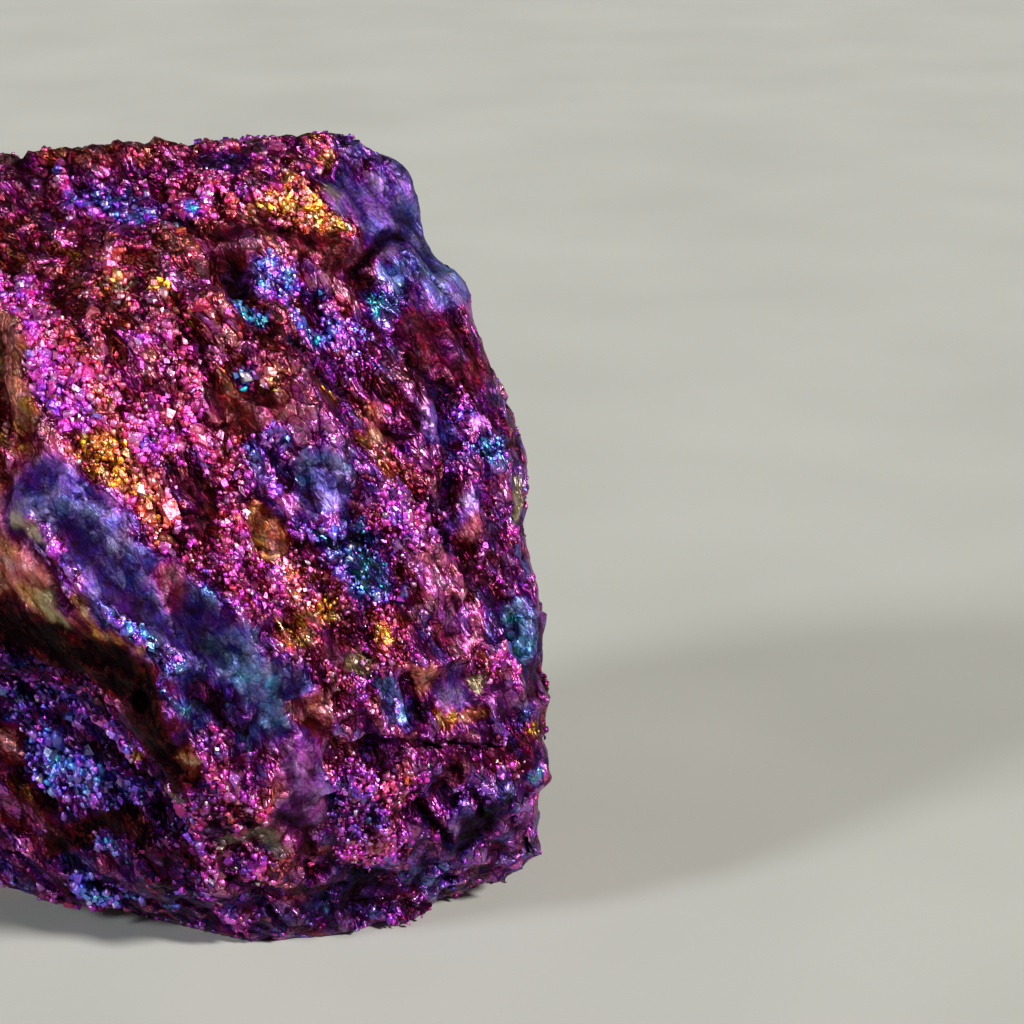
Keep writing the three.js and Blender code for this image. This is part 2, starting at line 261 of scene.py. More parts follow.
# Patches of the tarnish: the points each runs through, reach, film, brightness (1 bright, 0 dull, below 0
# near black) and grain (0 a smooth face, 1 all grains). A later patch lies over an earlier one. The
# brightness is partly the metal's own and partly painted highlight and painted shade.
PATCHES = {
    # large areas of the front
    "upper left face": ([(-8, -7, 56), (-2, -8, 51), (1, -10, 48)], 7, RED + 0.1, 0.47, 0.55),
    "top edge": ([(-9, 0, 59.5), (2, 1.5, 59.5), (12, 5, 59)], 1.6, RED, 0.3, 0.45),
    "upper slope": ([(5, -1, 57), (12, 1, 55)], 5, ROSE + 0.06, 0.5, 0.7),
    "upper right shoulder": ([(16, 5, 54.5), (20, 5, 50)], 4, VIOLET, 0.28, 0.3),
    "right side": ([(24, -1, 42), (26, -3, 34), (26, -5, 26)], 6, MAGENTA + 0.06, 0.34, 0.5),
    "middle": ([(16, -5, 41), (18, -8, 34), (20, -9, 27)], 6, MAGENTA - 0.04, 0.44, 0.6),
    "bright slope": ([(2, -16, 38), (7, -16, 33), (14, -14, 27)], 5.5, PINK, 0.6, 0.95),
    "left face": ([(-12, -13, 46), (-12, -15, 38), (-12, -16, 30)], 6, RED + 0.04, 0.36, 0.6),
    # the recess is darkened with painted shade
    "recess": ([(-12, -11, 22), (-5, -13, 18), (0, -15, 14), (-3, -12, 9)], 7, PURPLE, -0.13, 0.7),
    "foot": ([(-12, -8, 6), (0, -12, 5), (14, -12, 4), (26, -6, 4)], 4, PURPLE, 0.15, 0.6),
    "lower right": ([(16, -14, 14), (22, -11, 11), (27, -8, 8)], 5, PURPLE - 0.06, 0.4, 0.5),
    # the upper left
    "violet streak": ([(-5, -2.5, 58), (-1, -3, 55.5)], 1.6, PERIWINKLE - 0.02, 0.85, 0.9),
    "maroon at the top left": ([(-10, -1.5, 59.5), (-8.5, -5, 57)], 2, PINK, 0.12, 0.45),
    "sky edge of the streak": ([(-4, -1.5, 58.5), (-0.5, -3, 55.5)], 0.9, SKY - 0.07, 1, 1),
    "sky spot below the streak": ([(3.5, -2.5, 55)], 0.8, SKY, 1, 0.9),
    "gold-brown at the left": ([(-9, -6.5, 55.5)], 1, GOLD + 0.04, 0.1, 0.3),
    "cyan on the step": ([(2, -4, 53.5), (3, -5, 52)], 0.9, CYAN - 0.02, 0.9, 0.9),
    "small gold": ([(1, -8, 50.5)], 1, GOLD + 0.02, 0.95, 0.9),
    "lilac by the gold": ([(0, -11.5, 47)], 1, PURPLE - 0.02, 0.95, 1),
    "violet below the gold": ([(3.5, -9, 48), (5, -9.5, 47)], 0.9, PURPLE - 0.04, 0.85, 0.6),
    "brown under the face": ([(-1.5, -10.5, 49)], 1.2, ORANGE, 0.35, 0.5),
    "rose sparks over them": ([(-1, -9, 50), (-2, -8, 51.5)], 1.4, ROSE, 0.75, 0.9),
    "pink sparks on the left face": ([(1.5, -10, 48), (4, -11.5, 45)], 1.4, PINK, 0.6, 0.95),
    # the bright diagonal at the left
    "magenta diagonal": ([(-9.5, -10, 52), (-6, -13.5, 46.5), (-4, -14.5, 44)], 1.5, MAGENTA, 1, 1),
    "its wide foot": ([(-3.5, -14.5, 44), (-1.5, -15.5, 42)], 1.9, PINK + 0.05, 1, 1),
    "rose beside it": ([(-5.5, -12, 48), (-0.5, -15, 42.5)], 1, ROSE - 0.02, 0.92, 0.95),
    "brown left of it": ([(-9.5, -12.5, 48.5), (-8, -17, 40.5)], 1.4, ORANGE, 0.4, 0.2),
    "gold at its foot": ([(-2.5, -16.5, 40.5), (1.5, -17.5, 36.5)], 1.6, ORANGE - 0.04, 1, 1),
    "pink under the gold": ([(-2, -18, 38), (1.5, -18, 35.5)], 1, ROSE - 0.04, 0.8, 1),
    "dark wine right of it": ([(4, -15, 38), (4.5, -16, 35.5)], 1.2, PINK - 0.04, -0.35, 0.3),
    "orange-red at the left": ([(-9.5, -17.5, 37.5), (-9.5, -17, 31.5)], 1.5, ORANGE, 0.55, 0.1),
    "salmon face": ([(-7.5, -18, 32)], 1.4, RED + 0.04, 0.5, 0.05),
    # the upper right
    "blue-violet near the top": ([(5.5, 1.5, 58)], 1.4, PERIWINKLE, 0.4, 0.5),
    "rose column": ([(5, 0, 56.5), (5.5, -3.5, 53)], 1.2, ROSE + 0.03, 0.8, 0.9),
    "gold-brown slope": ([(8.5, -1.5, 53.5)], 1.5, GOLD + 0.04, 0.36, 0.1),
    "bright gold": ([(9.5, -1, 54), (13.5, 1, 54)], 1.9, ORANGE - 0.01, 0.88, 1),
    "yellow spots": ([(10, 1.5, 56), (10.5, 0.5, 55)], 0.7, GOLD, 0.9, 0.8),
    "orange over the gold": ([(13, 4.5, 57.5)], 1, ORANGE, 0.8, 0.9),
    "bright magenta": ([(15, 6.5, 56)], 1.1, MAGENTA, 0.85, 0.9),
    "smooth violet": ([(14.5, 3, 54.5), (16, 5, 54.5), (16.5, 3.5, 52.5)], 1.7, VIOLET - 0.01, 0.32, 0),
    "periwinkle": ([(17.5, 8, 55), (18.5, 7.5, 54)], 1.4, PERIWINKLE, 0.36, 0.1),
    "smooth blue strip": ([(19, 6.5, 52.5), (22, 4, 47.5)], 1.5, BLUE - 0.04, 0.32, 0),
    "blue face": ([(18, 1.5, 49.5)], 1.2, BLUE, 0.5, 0.05),
    "indigo": ([(17.5, 0, 47.5)], 1.5, PERIWINKLE, 0.6, 0.6),
    "periwinkle face": ([(20.5, 2.5, 47.5)], 1.3, PERIWINKLE, 0.6, 0.15),
    "maroon face": ([(20.5, -0.5, 45), (23.5, 1.5, 42.5)], 2.1, PINK - 0.04, -0.16, 0.3),
    "pink edge": ([(14, 1.5, 53), (15, 2, 52)], 0.7, PINK, 0.8, 0.9),
    # a painted shadow under the step over the hollow
    "maroon band": ([(4, -4.5, 52.5), (9, -2.5, 52.5), (15, 0.5, 51)], 1.4, ROSE + 0.02, -0.1, 0.2),
    "blue-white strip": ([(9, -4.5, 50.5), (11, -5, 48)], 1.3, SKY - 0.05, 1, 1),
    "lilac right of it": ([(12, -5, 47.5), (15, -3, 46)], 1.4, PERIWINKLE - 0.03, 1, 1),
    # painted shade in the hollow under the step
    "dark violet": ([(6.5, -5.5, 50.5), (8, -5, 50)], 1, VIOLET, -0.35, 0.3),
    "pink lines": ([(12, -2.5, 50.5), (14.5, -1, 49)], 1, PINK, 0.5, 0.4),
    "cyan under the violet": ([(6, -7.5, 48.5), (8.5, -7, 48)], 0.9, CYAN, 1, 0.95),
    "cyan by the crack": ([(8, -10, 44.5), (10.5, -7.5, 46)], 0.8, SKY + 0.02, 1, 0.95),
    "orange-red by the crack": ([(9.5, -9.5, 44.5)], 1.1, ORANGE + 0.04, 0.55, 0.7),
    "lilac by the crack": ([(15.5, -4, 43.5)], 1.3, PURPLE - 0.02, 0.8, 0.9),
    "peach": ([(12, -8, 43.5), (13.5, -7.5, 42.5)], 0.9, ORANGE, 0.5, 0.6),
    "orange-brown faces": ([(17, -5.5, 40.5)], 1.6, ORANGE, 0.4, 0.15),
    "dusky pink face": ([(21, -3, 40)], 1, PINK, 0.5, 0.1),
    "lilac grains": ([(23, -1, 40)], 1.2, PURPLE, 0.7, 1),
    "violet facets": ([(21.5, -3, 39)], 1.3, VIOLET, 0.6, 0.2),
    "white-lilac facet": ([(24.5, -1, 38.5)], 0.8, PURPLE - 0.02, 1, 0.1),
    "blue grains": ([(24, -2.5, 37.5), (26.5, -0.5, 36.5)], 1.1, PERIWINKLE, 0.6, 0.9),
    # the middle
    "brown smooth slope": ([(6, -11.5, 43), (10, -10.5, 42)], 1.3, ROSE - 0.04, 0.14, 0.2),
    "olive-gold ridge": ([(16, -8, 39.5), (18, -7, 38.5)], 0.8, GOLD + 0.03, 0.3, 0.2),
    "salmon facets": ([(17.5, -8, 37), (19, -7.5, 35.5)], 1.5, ROSE - 0.04, 0.85, 0.8),
    "violet cluster": ([(9.5, -12, 39.5), (11, -12.5, 35.5)], 1.6, VIOLET, 0.6, 0.7),
    "smooth blue patch": ([(13.5, -10.5, 37.5), (13, -11, 36)], 1.5, PERIWINKLE + 0.03, 0.3, 0.08),
    "its violet foot": ([(13, -11.5, 35)], 1.1, VIOLET, 0.4, 0.2),
    "magenta block": ([(11, -12.5, 36)], 0.9, MAGENTA, 0.85, 0.3),
    "gold-brown middle slope": ([(8.5, -14, 35.5), (10, -14, 33.5)], 1, GOLD + 0.05, 0.42, 0.1),
    "blue grains in the middle": ([(15, -12, 32.5), (16.5, -11.5, 30)], 1.9, SKY - 0.08, 0.54, 0.8),
    "magenta grains": ([(17, -9.5, 34.5), (21, -7.5, 32)], 1.3, MAGENTA - 0.03, 0.6, 0.8),
    "gold on the bright slope": ([(11, -15, 31)], 0.9, GOLD + 0.03, 0.95, 0.95),
    "brightest gold": ([(13, -15, 28)], 1, GOLD + 0.02, 1, 0.95),
    "orange-brown slope": ([(11.5, -16.5, 27.5)], 1.3, ORANGE, 0.65, 0.6),
    "last gold": ([(17.5, -12.5, 25.5)], 0.8, GOLD, 0.8, 0.9),
    "lavender on the slope": ([(7, -14, 37.5)], 0.9, PURPLE, 0.5, 1),
    "wine hollow": ([(14.5, -14.5, 24.5), (13.5, -15, 25)], 1.2, PINK - 0.04, 0.25, 0.2),
    "violet oval": ([(24, -4, 33.5), (23, -5.5, 32.5)], 1, VIOLET - 0.02, 0.45, 0.1),
    "maroon face at the right": ([(24, -5, 31)], 1.1, ROSE, 0.3, 0.1),
    "lilac grains at the edge": ([(27, -2, 30)], 1, MAGENTA - 0.02, 0.85, 1),
    "mauve streaked face": ([(21.5, -8.5, 29), (23, -8.5, 25)], 1.8, PINK - 0.02, 0.85, 0.4),
    "blue facet": ([(19, -10.5, 28)], 0.7, SKY - 0.04, 0.7, 0.1),
    "violet by the teal": ([(25.5, -7, 23.5)], 1.1, VIOLET - 0.03, 0.55, 0.5),
    "teal edge": ([(27.5, -4.5, 24), (28, -5, 22)], 1.3, BLUE + 0.02, 0.4, 0.2),
    "pink facet": ([(24, -8.5, 22.5)], 0.8, PINK - 0.02, 1, 0.1),
    "pink lines over the ledge": ([(24, -8.5, 21.5), (27, -7, 21)], 1, PINK, 0.7, 0.8),
    "orange-brown facet": ([(20.5, -11.5, 21.5)], 1, ORANGE + 0.03, 0.65, 0.1),
    "violet face over the ledge": ([(22.5, -10.5, 20.5)], 1.3, VIOLET - 0.03, 0.6, 0.05),
    "periwinkle lines": ([(18, -13, 22), (19, -13, 20)], 1, PERIWINKLE + 0.01, 0.85, 0.3),
    # the smooth band and its rim
    "band": ([(-6, -18.5, 38), (-2, -20, 34), (2, -20.5, 30), (9.5, -18.5, 22.5)],
             2.9, PERIWINKLE - 0.01, 0.13, 0),
    "maroon in the band": ([(2.5, -19, 32.5), (3, -19.5, 31)], 0.9, ROSE + 0.06, 0.12, 0.1),
    "teal foot of the band": ([(6.5, -19.5, 27), (10, -18, 22)], 1.3, SKY - 0.06, 0.36, 0.1),
    "violet along the beads": ([(-1.5, -21.5, 31), (1, -22, 29), (3.5, -21.5, 26.5)],
                               1.1, PERIWINKLE - 0.03, 0.4, 0.6),
    "blue beads": ([(-0.5, -21.5, 31), (3, -21.5, 28), (4.5, -20.5, 26.5)], 0.6, SKY - 0.07, 1, 0.95),
    "blue beads on the rim": ([(2.5, -22, 25), (3.5, -21.5, 21)], 0.5, SKY - 0.05, 0.75, 0.9),
    "pink blobs": ([(-6.5, -19.5, 35.5), (-4, -20.5, 31.5)], 0.9, MAGENTA + 0.02, 0.9, 0.7),
    "gold rim": ([(-9.5, -17.5, 31.5), (-6, -19, 29.5)], 0.6, GOLD + 0.02, 0.7, 0.2),
    "gold rim, right": ([(-4, -20.5, 30.5), (-1.5, -21, 28), (0.5, -22, 28)], 0.6, GOLD + 0.03, 0.65, 0.2),
    "teal under the rim": ([(1.5, -22.5, 26.5), (2.5, -22, 25)], 0.6, CYAN - 0.03, 0.6, 0.3),
    "blue under the rim": ([(3.5, -21.5, 22), (4, -21.5, 25)], 1, SKY - 0.06, 0.15, 0.3),
    # the recess under the rim, with painted shade on its ground
    "blue sheen": ([(-6, -11.5, 13), (-2, -13.5, 13.5)], 1.4, VIOLET + 0.03, 0.38, 0.9),
    "violet sheen": ([(-5.5, -13, 20.5), (-9.5, -11.5, 21.5)], 1.6, VIOLET - 0.04, 0.5, 0.85),
    "orange in the recess": ([(-11, -10.5, 16.5)], 1.5, RED - 0.03, 0.4, 0.3),
    # a painted shadow under the rim, and painted shade in the hole below it
    "dark under the rim": ([(-10, -16, 28), (-5.5, -18.5, 27), (-0.5, -21, 25.5)], 1.5, RED, -0.95, 0.3),
    "black hole": ([(0, -21, 25), (1, -21.5, 22.5), (2.5, -20.5, 18.5)], 1.5, RED, -0.95, 0.3),
    "sky grains": ([(-8, -11, 17.5), (-8.5, -10.5, 14.5), (-5, -12, 13)], 1, SKY - 0.09, 1, 1),
    "violet grains beside them": ([(-6, -11.5, 15), (-3.5, -12.5, 12.5)], 1.1, VIOLET + 0.04, 0.6, 1),
    # painted shade in the recess below the grains
    "black arc": ([(-10, -10.5, 13.5), (-7.5, -11, 8.5), (-1.5, -13.5, 11.5), (1, -14.5, 7.5)],
                  0.9, RED, -0.7, 0.5),
    "violet streak in the recess": ([(-3.5, -14, 21), (-0.5, -14, 17.5)], 1.1, VIOLET - 0.04, 1, 1),
    "its gold tip": ([(-0.5, -14.5, 17)], 0.5, GOLD, 0.7, 0.3),
    "lilac at the left": ([(-10, -11, 19)], 0.9, VIOLET - 0.03, 0.8, 0.9),
    "brown ridge": ([(3.5, -21, 19.5), (4, -20.5, 18.5)], 0.5, ORANGE, 0.3, 0.2),
    "indigo beside the band": ([(5, -20.5, 24.5), (7, -19.5, 21)], 1, VIOLET, -0.5, 0.5),
    "magenta below it": ([(5.5, -20.5, 20.5)], 1, MAGENTA, 0.55, 0.8),
    "rose below it": ([(5.5, -19.5, 18), (6.5, -19, 16.5)], 1.1, PINK - 0.03, 0.7, 1),
    "slab at the left": ([(-12, -10.5, 12), (-9.5, -10.5, 9)], 1.6, PINK, 0.62, 0.5),
    # the lower part
    "slate face": ([(10, -18, 23.5), (10, -18, 21.5)], 1, SKY - 0.05, 0.3, 0.05),
    "red and orange": ([(12, -17, 21)], 0.9, RED, 0.6, 0.7),
    "salmon ridge": ([(12.5, -16.5, 21.5), (14.5, -14.5, 17)], 0.9, ROSE - 0.02, 0.75, 0.3),
    "grey-violet oval": ([(12, -17, 17.5), (11.5, -16.5, 14)], 1.8, PURPLE - 0.02, 0.04, 0),
    "magenta strip": ([(14.5, -16, 16.5), (18, -14, 13), (18, -13.5, 10.5)], 1.4, MAGENTA - 0.05, 0.85, 1),
    "violet grains, lower": ([(14.5, -15.5, 14), (16, -14.5, 11)], 1.4, VIOLET - 0.05, 0.6, 1),
    "orange-brown lip": ([(21.5, -11.5, 18.5), (24.5, -9.5, 18.5)], 0.5, ORANGE, 0.55, 0.3),
    # painted shade under the overhanging lip
    "under the lip": ([(18, -12.5, 16.5), (23, -10, 15.5), (28.5, -7.5, 14.5)],
                      1.7, MAGENTA - 0.04, -0.03, 0.5),
    "lilac on the lip": ([(26, -8.5, 16.5), (28, -7, 17)], 0.8, PURPLE, 0.8, 0.9),
    "gold at its end": ([(28.5, -6.5, 15.5)], 0.7, GOLD + 0.02, 0.6, 0.7),
    "pink line": ([(24, -10.5, 14), (27, -9, 13.5)], 0.7, MAGENTA - 0.04, 0.8, 1),
    "sky spot at the right": ([(29, -8, 12.5)], 0.8, BLUE, 1, 0.5),
    "blue-black face": ([(25.5, -9.5, 10.5), (23.5, -9.5, 7.5)], 1.1, VIOLET, -0.4, 0.4),
    "mauve face": ([(22.5, -11, 10)], 1.1, PURPLE - 0.03, 0.45, 0.1),
    "wine facets": ([(16.5, -13.5, 8.5)], 2, PINK + 0.04, 0.85, 0.85),
    "violet facets below the ledge": ([(20.5, -12.5, 12.5), (24, -10.5, 11.5)], 1.1, PURPLE - 0.04, 0.6, 0.7),
    "rose bulge": ([(5, -19, 14.5), (6, -17, 9.5), (8.5, -16.5, 8)], 2.2, PINK + 0.03, 0.36, 0.9),
    "wine face": ([(12, -15, 8.5), (11, -14, 5.5)], 1.6, PINK - 0.02, 0.16, 0.5),
    "violet spot at the foot": ([(13, -11.5, 3)], 0.8, VIOLET, 1, 0.6),
    "blue-black at the foot": ([(15.5, -11.5, 5), (15, -11, 3)], 1.2, VIOLET, -0.5, 0.4),
    "violet-blue at the foot": ([(20.5, -9.5, 4.5)], 1.5, PERIWINKLE - 0.03, 0.4, 0.6),
    "violet-white in the shade": ([(2, -17.5, 12.5), (3, -17.5, 11.5)], 0.7, VIOLET - 0.06, 1, 0.95),
    "sky in the shade": ([(-3.5, -12, 9), (-2, -12.5, 7.5)], 0.7, BLUE - 0.06, 0.9, 0.95),
    "sparks on the foot": ([(-6, -11, 5), (-2, -11, 3)], 0.8, SKY - 0.1, 0.95, 1),
}

# Places with no film, where the bare ore shows: points, reach and tone, from grey-green (0) through
# olive to cream (1).
BARE = {
    "on the rose bulge": ([(5, -17.5, 10.5), (8.5, -17.5, 12), (9.5, -16.5, 10)], 0.6, 0.0),
    "under the rim": ([(3.5, -20, 16), (5, -20, 16)], 0.6, 0.0),
    "near the small gold": ([(-1, -8.5, 51)], 0.7, 0.1),
    "by the bright gold": ([(13.5, 3, 55.5)], 0.7, 0.2),
    "speckle at the top left": ([(-9, -4.5, 58)], 0.6, 0.8),
    "right edge": ([(27.5, 0, 33), (28, -1, 31)], 0.6, 1.0),
    "olive in the middle": ([(16, -14, 24)], 0.8, 0.6),
    "rim": ([(-8, -18.5, 37), (-6.5, -19.5, 34.5)], 0.6, 1.0),
    "rim, lower": ([(-6.5, -18.5, 30.5), (-5.5, -19, 29.5)], 0.6, 0.9),
    "over the ledge": ([(24.5, -9, 20.5)], 0.5, 1.0),
}

# Cracks: the points each runs through, and its depth. Each is cut into the surface and darkened with painted
# shade.
CRACKS = {
    "middle": ([(10.5, -7, 46.5), (12, -6, 45), (19, -5.5, 38)], 0.65),
    "upper right wedge": ([(15, 0, 50), (17.5, 3.5, 52), (18.5, 4.5, 51.5)], 0.5),
    "radiating": ([(19.5, -7, 34.5), (21.5, -7, 32), (22.5, -6.5, 31)], 0.7),
    "radiating, upper": ([(22.5, -6.5, 31), (22.5, -4.5, 36), (22, -2, 41)], 0.5),
    "right side": ([(23.5, -6, 30), (24, -7.5, 26.5)], 0.5),
    "over the ledge": ([(19, -12.5, 22), (20, -12.5, 19)], 0.7),
    "below the ledge, left": ([(20, -12.5, 12), (22, -10.5, 8)], 0.9),
    "below the ledge, right": ([(22.5, -11.5, 14.5), (25.5, -10, 9)], 0.5),
    "under the blue strip": ([(4.5, -5, 51.5), (8, -4.5, 51)], 0.4),
    "beside the smooth blue": ([(10.5, -13, 33), (13.5, -12.5, 32.5), (18, -10, 32.5)], 0.25),
}
CRACK_REACH = np.array((1, 0.4, 1))  # the distance from a crack counts for less from front to back

PATCH_STRENGTH = 0.9  # how much of what is under it a patch hides
BARE_STRENGTH = 0.7
CHANCE_PATCH_SPACING = 7
CHANCE_PATCH_SHARE = 0.6  # the share of places that have a patch


def distance_to_line(points, corners):
    """Distance from each point to a line through these corners, which may be a single one."""
    corners = np.array(corners, float)
    nearest = np.linalg.norm(points - corners[0], axis=1)
    for start, end in zip(corners, corners[1:]):
        way = end - start
        along = np.clip((points - start) @ way / (way @ way), 0, 1)
        nearest = np.minimum(nearest, np.linalg.norm(points - start - along[:, None] * way, axis=1))
    return nearest


def covered(points, corners, reach):
    """1 along the middle of a patch, fading to 0 at about one and a half times its reach."""
    return np.clip(2.6 - 1.7 * distance_to_line(points, corners) / reach, 0, 1)


def near_crack(points, width):
    """1 in the cracks, 0 away from them, times each crack's depth."""
    deepest = np.zeros(len(points))
    ragged = shaken(points, 1.1, 0.15, 26) * CRACK_REACH
    for corners, depth in CRACKS.values():
        away = distance_to_line(ragged, corners * CRACK_REACH) / width
        deepest = np.maximum(deepest, depth * np.exp(-(away**2)))
    return deepest


def tarnish(points):
    """Film, brightness with its painted highlights and shade, grain, bareness and bare tone at each point.

    A slow change over the whole stone comes first, then patches placed by chance, which show on the
    sides and the back, and then the named ones.
    """
    film = PINK + 0.06 + 0.22 * layered(points, 12, 41)
    lustre_and_painted_light = 0.36 + 0.3 * layered(points, 9, 71)
    grain = 0.55 + 0.45 * layered(points, 6, 81)
    ragged = shaken(points, 2.2, 0.7, 51)
    for square, _, cell in nearest_cells(ragged, CHANCE_PATCH_SPACING, 61):
        share = np.clip(1.6 - 11 * square, 0, 1) * (chance(cell, 62) < CHANCE_PATCH_SHARE)
        film += (chance(cell, 63) - film) * share
        lustre_and_painted_light += (0.2 + 0.8 * chance(cell, 64) - lustre_and_painted_light) * share
        grain += (chance(cell, 65) - grain) * share
    for corners, reach, value, patch_lustre_and_light, grains in PATCHES.values():
        share = covered(ragged, corners, reach)
        film += (value - film) * share * PATCH_STRENGTH
        lustre_and_painted_light += (patch_lustre_and_light - lustre_and_painted_light) * share * PATCH_STRENGTH
        grain += (grains - grain) * share * PATCH_STRENGTH
    bare = np.zeros(len(points))
    tone = 0.5 + 0.5 * wander(points, 5, 93)
    for corners, reach, value in BARE.values():
        share = BARE_STRENGTH * covered(ragged, corners, reach)
        bare = np.maximum(bare, share)
        tone += (value - tone) * share
    film += (0.06 + 0.07 * grain) * (wander(points, 1.7, 45) + wander(points, 0.8, 46))
    lustre_and_painted_light += 0.22 * layered(stretched(points, 2), 2.2, 77)
    return np.clip(film, 0, 1), np.clip(lustre_and_painted_light, -1, 1), np.clip(grain, 0, 1), bare, np.clip(tone, 0, 1)


# ---- relief ----------------------------------------------

FLOW = np.array((0.55, -0.2, -0.81))  # the way most breaks run, from the upper left down to the right
ACROSS = np.array((0.83, 0.24, 0.5))  # square to that, up to the right over the front
STRETCH = 2.1  # scoops and facets are this many times longer along the flow
STRIPE = 0.75  # from one fine line on a smooth face to the next
LEDGE_WALL = 0.14  # how much of the way from one ledge to the next is the drop
CRACK_WIDTH = 0.34
# the width of the painted shade along the cracks
CRACK_SHADE_WIDTH = 0.5
CALM_ZONE = 1.2  # the relief fades in over this height above the flat break

# Sharp folds of the surface: the points each runs through, reach and height. Below 0 it is a valley.
FOLDS = {
    "curved ridge": ([(5, -9, 49), (10.5, -9, 44.5), (14.5, -9.5, 38.5), (21, -7.5, 32)], 2.4, 1.1),
    "step over the hollow": ([(4, -4.5, 52.5), (9.5, -3, 52.5), (14, 0, 51.5)], 1.3, 0.9),
    "hollow under the step": ([(5.5, -6, 50), (9.5, -5, 50), (13, -4, 48)], 1.8, -1.2),
    "edge over the band": ([(-5, -17.5, 38.5), (0, -19, 35.5), (11, -17.5, 25)], 1.6, 0.6),
    "trough of the band": ([(-4.5, -19.5, 36), (0.5, -20.5, 31.5), (6, -20, 26.5)], 1.6, -0.6),
    "valley left of the diagonal": ([(-10, -11, 50.5), (-9, -14.5, 43.5), (-6.5, -17.5, 39.5)], 1.8, -1),
    "ridge over the ledge": ([(15.5, -13.5, 24.5), (19.5, -12, 23), (25, -8, 22.5)], 1.6, 0.7),
    "wine hollow": ([(15, -13, 24), (14, -15.5, 22.5)], 1.5, -0.9),
    "valley beside the oval": ([(13.5, -14, 20), (14, -15.5, 16.5), (13.5, -15.5, 13)], 1.5, -0.8),
    "ridge beside the oval": ([(12.5, -16.5, 21.5), (14, -15, 18), (16, -15, 15)], 1, 0.6),
    "right shoulder": ([(18.5, 3, 50.5), (21, 2.5, 46.5), (22.5, 0.5, 43)], 1.6, 0.8),
    "valley in the right side": ([(23, -2.5, 41.5), (22.5, -6.5, 31.5)], 1.8, -0.9),
    "lower right valley": ([(22, -11.5, 12.5), (25.5, -8.5, 7)], 1.8, -0.8),
    "under the lip": ([(17.5, -13, 17), (22.5, -11, 16.5), (27.5, -7.5, 15)], 1.6, 0.5),
    "top right corner": ([(12, 5.5, 58.5), (16, 7, 58.5), (18, 7.5, 55)], 3, 1.3),
    "dip in the top edge": ([(4.5, 3, 60), (12, 5.5, 60)], 3.5, -1.2),
    "rise in the top edge": ([(-5, -1, 60.5), (-2, 0.5, 60.5)], 3, 1),
    "lower right corner": ([(26, -9, 1.5), (29, -7.5, 4), (30, -7, 7)], 4.5, -2.1),
    "shoulder corner": ([(22.5, 5.5, 47.5), (25, 3.5, 44.5)], 3, 1.2),
    "flat below the shoulder": ([(27, 1.5, 39.5), (28, 0, 36)], 3, -0.9),
    "bulge's left edge": ([(4, -20, 17), (4, -18.5, 12.5), (4.5, -16, 8)], 1.4, 0.7),
    "ridge in the recess": ([(-4, -14.5, 22.5), (-1, -14.5, 18), (1.5, -16, 14.5)], 1.2, 0.9),
    "valley in the recess": ([(-7, -12, 20.5), (-4.5, -12.5, 17), (-2, -13.5, 12.5)], 1.6, -0.9),
    "slab in the recess": ([(-12, -10.5, 13.5), (-8.5, -11, 11), (-6, -11, 7.5)], 1.2, 0.8),
}


def stretched(points, times):
    """Points for noise whose shapes are this many times longer along the breaks' own direction."""
    return points - (points @ FLOW)[:, None] * FLOW * (1 - 1 / times)


def ledges(points, spacing, drop, salt):
    """Height of broken ledges along the breaks' own direction: a slow rise, then a sudden drop."""
    place = points @ ACROSS / spacing + 0.8 * layered(stretched(points, 2), spacing * 2.3, salt)
    rise = place - np.floor(place)
    slope = 1 - LEDGE_WALL
    profile = np.where(rise < slope, rise / slope, (1 - rise) / LEDGE_WALL) - 0.5
    strength = np.clip(0.45 + 0.9 * wander(points, spacing * 1.6, salt + 40), 0, 1)
    return drop * profile * strength


def folds(points):
    """Height of the named folds."""
    total = np.zeros(len(points))
    ragged = shaken(points, 3, 0.5, 29)
    for corners, reach, height in FOLDS.values():
        total += height * np.clip(1 - distance_to_line(ragged, corners) / reach, 0, 1)
    return total


def relief(points, grain):
    """Height of the broken surface over the CAD solid."""
    along = stretched(shaken(points, 5, 0.6, 27), STRETCH)
    rough = 0.4 + 0.6 * np.clip(2.5 * grain, 0, 1)
    height = scoops(along, 6, 0.3, 0.42, 21) * 0.42
    height += scoops(along, 2.7, 0.28, 0.55, 22) * 0.55 * rough
    height -= scoops(along, 1.3, 0.24, 0.65, 23) * 0.75 * rough
    height += ledges(points, 5.5, 0.6, 34) + ledges(points, 2, 0.32, 35) * rough
    across = points @ np.cross(FLOW, (0.3, 0.9, 0.1))
    stripes = np.sin(across / STRIPE * 2 * math.pi + 2.5 * wander(points, 4, 25))
    height += 0.03 * stripes * (1 - grain)
    return height + folds(points) - near_crack(points, CRACK_WIDTH)


def carve(surface, grain):
    """Moves the surface out or in by its relief, but never below the flat break."""
    calm = np.clip(surface.points[:, 2] / CALM_ZONE, 0, 1)
    height = relief(surface.points, grain) * calm
    moved = surface.points + surface.normals * height[:, None]
    moved[:, 2] = np.maximum(moved[:, 2], 0)
    surface.move_to(moved)


def paint_shade_and_edge_light(surface, lustre_and_painted_light):
    """The brightness with painted shade in the hollows and along the cracks, and a painted highlight on the
    edges.
    """
    # painted shade in the hollows and a painted highlight on the edges, from how hollow the surface is
    hollow = surface.hollowness(5) / 0.12 + surface.hollowness(40) / 0.6
    value = lustre_and_painted_light - 0.04 - 0.28 * np.clip(hollow, -1.2, 2)
    # painted shade along the cracks
    value -= near_crack(surface.points, CRACK_SHADE_WIDTH)
    return np.clip(value, -1, 1)


# ---- grains ----------------------------------------------

